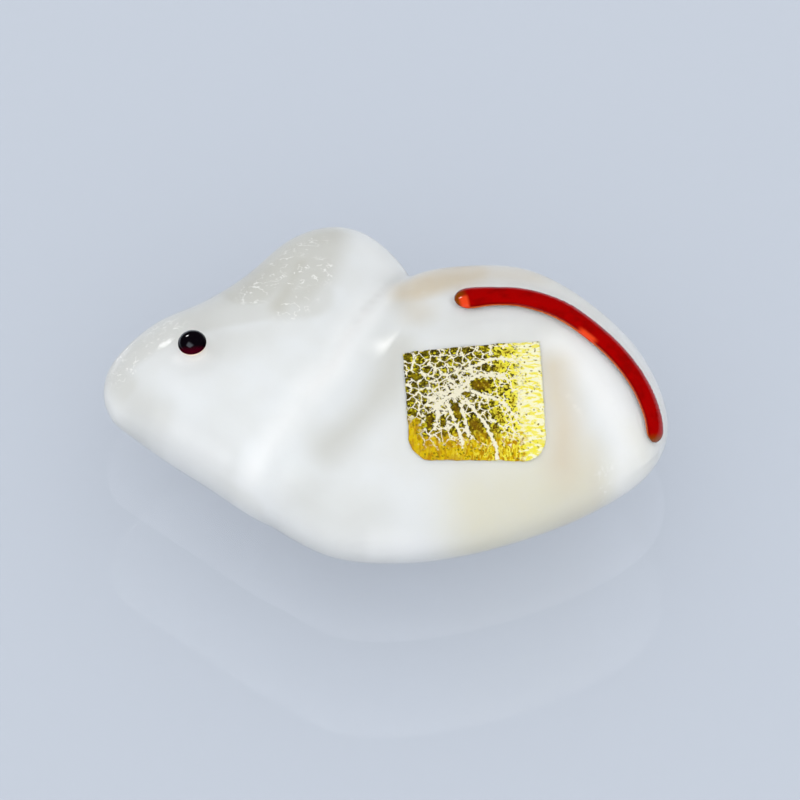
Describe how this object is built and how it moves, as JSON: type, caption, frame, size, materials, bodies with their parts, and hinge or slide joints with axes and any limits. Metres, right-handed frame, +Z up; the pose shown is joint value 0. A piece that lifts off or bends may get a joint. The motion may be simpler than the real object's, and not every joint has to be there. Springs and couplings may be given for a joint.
{
  "type": "glass rat figurine",
  "caption": "Solid opal glass rat lying on its flank, cased in clear glass over crackled gold leaf, with a red trailed tail and a black bead eye, on a ground flat.",
  "frame": {"origin": "centre of the bounding box at the level of the ground flat that the rat rests on", "axes": "+Z up from the table, -X towards the nose, +Y towards the back and the ear, so the rat lies on its right flank"},
  "size_m": [0.0561, 0.0395, 0.0148],
  "materials": {
    "opal_glass": "milky hot-worked glass",
    "clear_glass": "fire-polished clear glass, ground flat underneath",
    "gold_leaf": "crackled leaf under glass",
    "red_glass": "fire-polished opaque red glass",
    "black_glass": "fire-polished black glass"
  },
  "bodies": {
    "root": {"opal_body": "opal_glass", "glass_casing": "clear_glass", "gold_leaf": "gold_leaf", "tail": "red_glass", "eye": "black_glass"}
  },
  "joints": []
}
